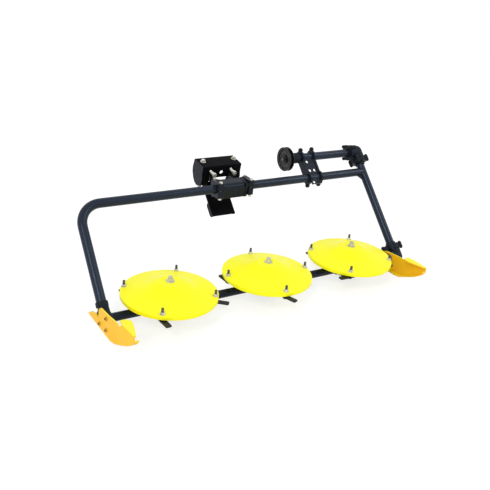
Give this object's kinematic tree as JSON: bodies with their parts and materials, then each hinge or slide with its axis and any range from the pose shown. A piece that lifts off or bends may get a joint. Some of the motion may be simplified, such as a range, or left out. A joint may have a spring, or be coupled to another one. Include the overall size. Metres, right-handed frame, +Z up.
{
  "type": "disc mower, front-mounted, for a walk-behind tractor",
  "caption": "Front mower for a walk-behind tractor: a leaning tube frame on side shoes carries gear-driven discs with swinging knives, a belt pulley and a tilting hitch.",
  "frame": {"origin": "middle of the machine's footprint, on the ground it stands on", "axes": "+X along the cutter bar towards the drive side, +Y back towards the tractor, +Z up"},
  "size_m": [1.3474, 0.6646, 0.4428],
  "materials": {
    "yellow_disc": "glossy yellow paint",
    "yellow_shoe": "glossy orange-yellow paint",
    "black_paint": "satin black paint",
    "black_casting": "painted black casting",
    "dark_bolts": "dark hexagon bolts",
    "zinc_steel": "zinc plated",
    "yellow_zinc": "yellow passivated",
    "knife_steel": "dark hardened steel",
    "pulley_iron": "turned iron, painted grey"
  },
  "bodies": {
    "frame": {"hub_left": "black_casting", "hub_middle": "black_casting", "hub_right": "black_casting", "left_foot": "black_casting", "lower_gearbox": "black_casting", "lower_gearbox_bolts": "dark_bolts", "upper_gearbox": "black_casting", "upper_gearbox_bolts": "dark_bolts", "cutter_bar": "black_paint", "right_column": "black_paint", "frame_tube": "black_paint", "column_gusset": "black_paint", "shaft_tube": "black_paint", "bearing_housing": "black_casting", "support_plate_left": "black_paint", "support_plate_right": "black_paint", "support_web": "black_paint", "support_bolts": "dark_bolts", "shoe_left": "yellow_shoe", "shoe_bolts_left": "yellow_zinc", "shoe_right": "yellow_shoe", "shoe_bolts_right": "yellow_zinc", "clamp_flange": "black_paint", "stop_collar_left": "black_paint", "collar_bolts_left": "zinc_steel", "stop_collar_right": "black_paint", "collar_bolts_right": "zinc_steel"},
    "hitch": {"hitch_sleeve": "black_paint", "hitch_box": "black_paint", "hitch_tail": "black_paint", "hitch_screws": "zinc_steel"},
    "pulley": {"pulley": "pulley_iron", "pulley_bolt": "dark_bolts"},
    "disc_left": {"disc_left": "yellow_disc", "spindle_left": "zinc_steel", "knife_bolts_left": "zinc_steel"},
    "knife_left_1": {"knife_left_1": "knife_steel"},
    "knife_left_2": {"knife_left_2": "knife_steel"},
    "knife_left_3": {"knife_left_3": "knife_steel"},
    "knife_left_4": {"knife_left_4": "knife_steel"},
    "disc_middle": {"disc_middle": "yellow_disc", "spindle_middle": "zinc_steel", "knife_bolts_middle": "zinc_steel"},
    "knife_middle_1": {"knife_middle_1": "knife_steel"},
    "knife_middle_2": {"knife_middle_2": "knife_steel"},
    "knife_middle_3": {"knife_middle_3": "knife_steel"},
    "knife_middle_4": {"knife_middle_4": "knife_steel"},
    "disc_right": {"disc_right": "yellow_disc", "spindle_right": "zinc_steel", "knife_bolts_right": "zinc_steel"},
    "knife_right_1": {"knife_right_1": "knife_steel"},
    "knife_right_2": {"knife_right_2": "knife_steel"},
    "knife_right_3": {"knife_right_3": "knife_steel"},
    "knife_right_4": {"knife_right_4": "knife_steel"}
  },
  "joints": [
    {"name": "hitch_tilt", "type": "hinge", "parent": "frame", "child": "hitch", "pos_m": [-0.03263, 0.17175, 0.326], "axis": [1, 0, 0], "range_deg": [-15, 15]},
    {"name": "disc_right_spin", "type": "hinge", "parent": "frame", "child": "disc_right", "pos_m": [0.37437, -0.10925, 0.092], "axis": [0, 0, 1], "continuous": true},
    {"name": "disc_middle_spin", "type": "hinge", "parent": "frame", "child": "disc_middle", "pos_m": [-0.02563, -0.10925, 0.092], "axis": [0, 0, 1], "continuous": true},
    {"name": "disc_left_spin", "type": "hinge", "parent": "frame", "child": "disc_left", "pos_m": [-0.42563, -0.10925, 0.092], "axis": [0, 0, 1], "continuous": true},
    {"name": "pulley_spin", "type": "hinge", "parent": "frame", "child": "pulley", "pos_m": [0.25237, 0.23833, 0.39376], "axis": [1, 0, 0], "continuous": true},
    {"name": "knife_left_1_swing", "type": "hinge", "parent": "disc_left", "child": "knife_left_1", "pos_m": [-0.55342, -0.01977, 0.074], "axis": [0, 0, 1], "continuous": true},
    {"name": "knife_left_2_swing", "type": "hinge", "parent": "disc_left", "child": "knife_left_2", "pos_m": [-0.33616, 0.01854, 0.074], "axis": [0, 0, 1], "continuous": true},
    {"name": "knife_left_3_swing", "type": "hinge", "parent": "disc_left", "child": "knife_left_3", "pos_m": [-0.29785, -0.19873, 0.074], "axis": [0, 0, 1], "continuous": true},
    {"name": "knife_left_4_swing", "type": "hinge", "parent": "disc_left", "child": "knife_left_4", "pos_m": [-0.51511, -0.23704, 0.074], "axis": [0, 0, 1], "continuous": true},
    {"name": "knife_middle_1_swing", "type": "hinge", "parent": "disc_middle", "child": "knife_middle_1", "pos_m": [-0.17971, -0.08485, 0.074], "axis": [0, 0, 1], "continuous": true},
    {"name": "knife_middle_2_swing", "type": "hinge", "parent": "disc_middle", "child": "knife_middle_2", "pos_m": [-0.00123, 0.04483, 0.074], "axis": [0, 0, 1], "continuous": true},
    {"name": "knife_middle_3_swing", "type": "hinge", "parent": "disc_middle", "child": "knife_middle_3", "pos_m": [0.12845, -0.13365, 0.074], "axis": [0, 0, 1], "continuous": true},
    {"name": "knife_middle_4_swing", "type": "hinge", "parent": "disc_middle", "child": "knife_middle_4", "pos_m": [-0.05004, -0.26333, 0.074], "axis": [0, 0, 1], "continuous": true},
    {"name": "knife_right_1_swing", "type": "hinge", "parent": "disc_right", "child": "knife_right_1", "pos_m": [0.25313, -0.01108, 0.074], "axis": [0, 0, 1], "continuous": true},
    {"name": "knife_right_2_swing", "type": "hinge", "parent": "disc_right", "child": "knife_right_2", "pos_m": [0.47254, 0.01198, 0.074], "axis": [0, 0, 1], "continuous": true},
    {"name": "knife_right_3_swing", "type": "hinge", "parent": "disc_right", "child": "knife_right_3", "pos_m": [0.4956, -0.20742, 0.074], "axis": [0, 0, 1], "continuous": true},
    {"name": "knife_right_4_swing", "type": "hinge", "parent": "disc_right", "child": "knife_right_4", "pos_m": [0.27619, -0.23049, 0.074], "axis": [0, 0, 1], "continuous": true}
  ],
  "couplings": [
    {"joint": "disc_middle_spin", "follows": "disc_right_spin", "ratio": -1},
    {"joint": "disc_left_spin", "follows": "disc_right_spin", "ratio": 1},
    {"joint": "pulley_spin", "follows": "disc_right_spin", "ratio": 1}
  ]
}
